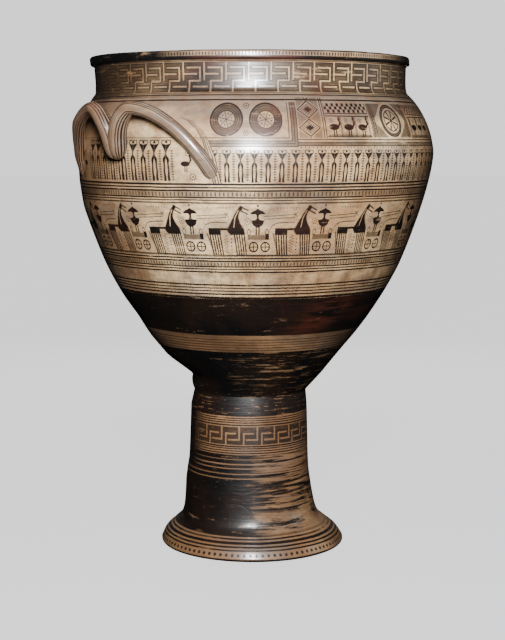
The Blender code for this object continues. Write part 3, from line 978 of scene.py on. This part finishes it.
def great_wheel(wall, turn, degree):
    """A wheel with eight rays in the middle of each face, on a washed ground with zigzag edges."""
    side, up = turn * degree, wall.height - 1.0720
    away = far_from(side, up)
    rings = curve(away, (
        (0, 1), (.003, 1), (.0036, 0), (.022, 0), (.0226, 1), (.0244, 1), (.025, 0), (.0296, 0),
        (.0302, 1), (.0318, 1), (.0324, 0), (.0340, 0), (.0346, 1), (.0370, 1), (.0376, 0), (.04, 0)))
    ray = abs(wall.math("ARCTAN2", up, side) * (8 / math.tau) % 1.0 - 0.5)
    wheel = most(rings, inside(ray - 0.30 + away * 9.0, 0.04) * inside(away - 0.0226))
    wheel = most(wheel, stroke(away - 0.0330, 0.0040) * 0.72)
    wheel = most(wheel, inside(0.0600 - (side + abs(up))) * 0.62)
    rim = zigzag((turn - 8.3) * degree, wall.height, 0.0030, 0.0070, 0.0014)
    rim = most(rim, between(turn, 7.3, 7.6, 0.06)) * between(turn, 7.2, 9.2, 0.06)
    return most(wheel, rim) * inside(turn - 9.3, 0.06) * between(wall.height, 1.0340, 1.1110)


def shoulder_finish():
    """The shoulder: ringed discs, sweeping lines, and a panel of lozenges, birds and a wheel."""
    wall = Wall("shoulder_band")
    turn, degree = wall.folded(), 0.00763
    sweep, far = wing(wall, turn)
    marks = ringed_discs(wall, turn, degree) * inside(turn - far, 0.1) * spread(turn, 38.6, 38.8)
    posts = lines(turn, [(25.6, .30, 1), (26.3, .25, 1)], 20.0, 30.0, 0.06)
    marks = most(marks, posts, frame_corner(wall, turn) * inside(wall.height - 1.112), sweep)
    marks = most(marks, lozenges(wall, turn, degree))
    marks = most(marks, birds(wall, turn, degree))
    marks = most(marks, chequers(wall, turn))
    marks = most(marks, great_wheel(wall, turn, degree))
    marks = most(marks, lines(wall.height, [(1.1174, .0034, 1)], 1.10, 1.1235))
    smudge = spread(wall.noise(7.0, 4.0, roughness=0.6), 0.50, 0.68) * spread(wall.height, 1.070, 1.105)
    veil = spread(wall.height, 1.050, 1.110) * 0.34 - 0.02
    return fire(wall, most(marks, smudge * 0.5), worn=0.32, veil=veil, reddened=0.5)


def neck_finish():
    """Neck and lip: a grey belt, the great key pattern, lines, and short strokes on the lip."""
    wall = Wall("neck_and_lip")
    low, high = 1.1336, 1.2045
    gap = key_band(wall, NECK_KEY, 48, 0.389, low, high)
    fill = 0.62 + spread(wall.noise(5.0, 3.0), 0.36, 0.64) * 0.24
    ribbon = most(spread(gap, 0.0016, 0.0022) * fill, stroke(gap - 0.0031, 0.0010))
    ribbon = ribbon * between(wall.height, low, high)
    marks = lines(wall.height, [
        (1.1286, .0026, 1), (1.1332, .0016, .9), (1.2052, .0018, .9), (1.2120, .0085, 1)], 1.1230, 1.2180)
    strokes = most(ticks(wall, 1.2175, 1.2245, 330), between(wall.height, 1.2262, 1.2400) * 0.8)
    left, right = wall.facing(-135.0), wall.facing(60.0)
    # Painted shade: the lip goes dark towards both sides, where the light falls off
    soot_and_painted_shade = most(spread(left, 0.20, 0.60), spread(right, 0.45, 0.80)) * 0.92
    strokes = most(strokes, soot_and_painted_shade * spread(wall.height, 1.2100, 1.2150))
    # Painted shade on the neck's left and right sides, where the light falls off, with cloudy dirt over all
    grime_and_painted_shade = most(spread(left, 0.35, 0.85) * 0.72, spread(right, 0.45, 0.85) * 0.60)
    grime_and_painted_shade = most(grime_and_painted_shade, spread(wall.noise(3.2, 3.0), 0.42, 0.62) * 0.30)
    red = spread(wall.facing(-5.0), 0.0, 0.7) * 1.2
    veil = 0.30 - spread(wall.height, 1.128, 1.136) * 0.22
    return fire(wall, most(ribbon, grime_and_painted_shade, marks, strokes), veil=veil, reddened=red)


def lining_finish():
    """The inside of the bowl and the hollow foot: thin brown slip with clay showing through."""
    wall = Wall("dark_lining")
    slip = spread(wall.noise(2.2, 4.0), 0.30, 0.52) * 0.9
    return fire(wall, slip, worn=0.6, streaks=0.5, clays=(TAN, CREAM))


def strap_finish():
    """The handles: dark lines along the strap, on worn greyish clay."""
    wall = Wall("handle_slip")
    across = wall.node("ShaderNodeAttribute", {"attribute_name": "strap_across"}, None, "Fac")
    outward = wall.node("ShaderNodeAttribute", {"attribute_name": "strap_outward"}, None, "Fac")
    face = wall.math("ARCTAN2", outward, abs(across)) * (180 / math.pi)
    face = face + (wall.noise(40.0, 2.0) - 0.5) * 6
    marks = lines(face, [
        (-24, 16, .9), (-2, 12, .95), (20, 13, .95), (40, 9, .95), (57, 8, .85), (82, 8, .3)], -90, 91, 2.0)
    return fire(wall, marks, worn=0.26, veil=0.28, reddened=0.5)


# The pot


def make_pot():
    """Turns the wall, lays the four straps, joins them, and gives each zone its finish."""
    finishes = [foot_finish(), stem_finish(), dark_bowl_finish(), low_belts_finish(), chariots_finish(),
                high_belts_finish(), figures_finish(), shoulder_finish(), neck_finish(), lining_finish(),
                strap_finish()]
    section, outside_from, outside_to = outline()
    line = line_mesh("section", [(r, 0.0, z) for r, z in section], {})
    meshes = [formed(line, turned_tree(), {"Sides": WALL_SIDES, "Clay": finishes[0]})]
    straps = strap_tree()
    for side, leg in (("left", math.pi), ("right", 0.0)):
        for way in (1, -1):
            arch = arch_line(f"{side}_arch_{'back' if way * math.cos(leg) > 0 else 'front'}", leg, way)
            meshes.append(formed(arch, straps, {"Sides": STRAP_SIDES, "Clay": finishes[-1]}))
    pieces = []
    for mesh in meshes:
        piece = bpy.data.objects.new("clay_" + str(len(pieces)), mesh)
        bpy.context.scene.collection.objects.link(piece)
        pieces.append(piece)
    turned = meshes[0]
    turned.materials.clear()
    for finish in finishes:
        turned.materials.append(finish)
    station = turned.attributes["station"].data
    for face in turned.polygons:
        middle = sum(station[i].value for i in face.vertices) / len(face.vertices)
        if outside_from <= middle <= outside_to - 1:
            face.material_index = sum(face.center.z > level for level in ZONE_ENDS)
        else:
            face.material_index = len(finishes) - 2
    with bpy.context.temp_override(active_object=pieces[0], selected_editable_objects=pieces):
        bpy.ops.object.join()
    pot = pieces[0]
    pot.name = "krater_pot"
    for vertex in pot.data.vertices:
        vertex.co = hand_formed(vertex.co.copy())
    skin_mesh = bmesh.new()
    skin_mesh.from_mesh(pot.data)
    bmesh.ops.recalc_face_normals(skin_mesh, faces=skin_mesh.faces)
    skin_mesh.to_mesh(pot.data)
    skin_mesh.free()
    pot.data.shade_smooth()
    return pot


pot = make_pot()
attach(pot, "root")
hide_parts("krater")


# The studio


def make_floor():
    """A wide pale floor."""
    mesh = bpy.data.meshes.new("studio_floor")
    bm = bmesh.new()
    bmesh.ops.create_circle(bm, cap_ends=True, segments=96, radius=40.0)
    bm.to_mesh(mesh)
    bm.free()
    floor = bpy.data.objects.new("studio_floor", mesh)
    bpy.context.scene.collection.objects.link(floor)
    material = bpy.data.materials.new("floor_paper")
    material.use_nodes = True
    tree = Tree(material.node_tree)
    tree.node("ShaderNodeOutputMaterial", None, {0: tree.node("ShaderNodeBsdfPrincipled", None, {
        "Base Color": (0.12, 0.12, 0.12, 1.0), "Roughness": 0.9, "Specular IOR Level": 0.0,
        "Emission Color": (1.0, 1.0, 1.0, 1.0), "Emission Strength": 1.24})})
    mesh.materials.append(material)
    floor.visible_diffuse = False
    floor.visible_glossy = False


def make_world():
    """Pale grey all round for the camera, and a dim even light for everything else."""
    world = bpy.data.worlds.new("studio")
    bpy.context.scene.world = world
    world.use_nodes = True
    tree = Tree(world.node_tree)
    seen = tree.node("ShaderNodeLightPath")
    dim = tree.node("ShaderNodeBackground", None, {0: (1.0, 0.97, 0.93, 1.0), 1: 0.010})
    pale = tree.node("ShaderNodeBackground", None, {0: (1.0, 1.0, 1.0, 1.0), 1: 1.30})
    light = tree.node("ShaderNodeMixShader", None, {0: seen, 1: dim, 2: pale})
    tree.node("ShaderNodeOutputWorld", None, {0: light})


def make_lamp(name, place, aim, size, power, colour):
    """A soft lamp that the camera doesn't see."""
    data = bpy.data.lights.new(name, "AREA")
    data.shape, data.size, data.size_y = "RECTANGLE", *size
    data.energy, data.color = power, colour
    lamp = bpy.data.objects.new(name, data)
    bpy.context.scene.collection.objects.link(lamp)
    lamp.location = place
    lamp.rotation_euler = (Vector(aim) - Vector(place)).to_track_quat("-Z", "Y").to_euler()
    lamp.visible_camera = False


def make_camera():
    data = bpy.data.cameras.new("camera")
    data.lens, data.sensor_width = 82.34, 36.0
    camera = bpy.data.objects.new("camera", data)
    bpy.context.scene.collection.objects.link(camera)
    camera.location = (-2.7426, -2.5132, 1.027)
    camera.rotation_euler = (math.radians(83.0), 0.0, math.radians(-47.5))
    bpy.context.scene.camera = camera


make_floor()
make_world()
make_lamp("key_light", (-1.80, -1.62, 1.52), (0.0, 0.0, 0.92), (0.40, 0.52), 168.0, (0.98, 0.98, 1.0))
make_lamp("side_light", (2.60, -3.00, 1.60), (0.0, 0.0, 0.80), (1.6, 2.0), 12.0, (1.0, 0.95, 0.88))
make_lamp("top_light", (0.0, 0.0, 3.00), (0.0, 0.0, 0.50), (1.0, 1.0), 6.0, (0.95, 0.98, 1.0))
make_lamp("back_light", (2.35, 2.15, 1.90), (0.0, 0.0, 0.80), (1.6, 2.0), 90.0, (1.0, 0.98, 0.95))
make_camera()
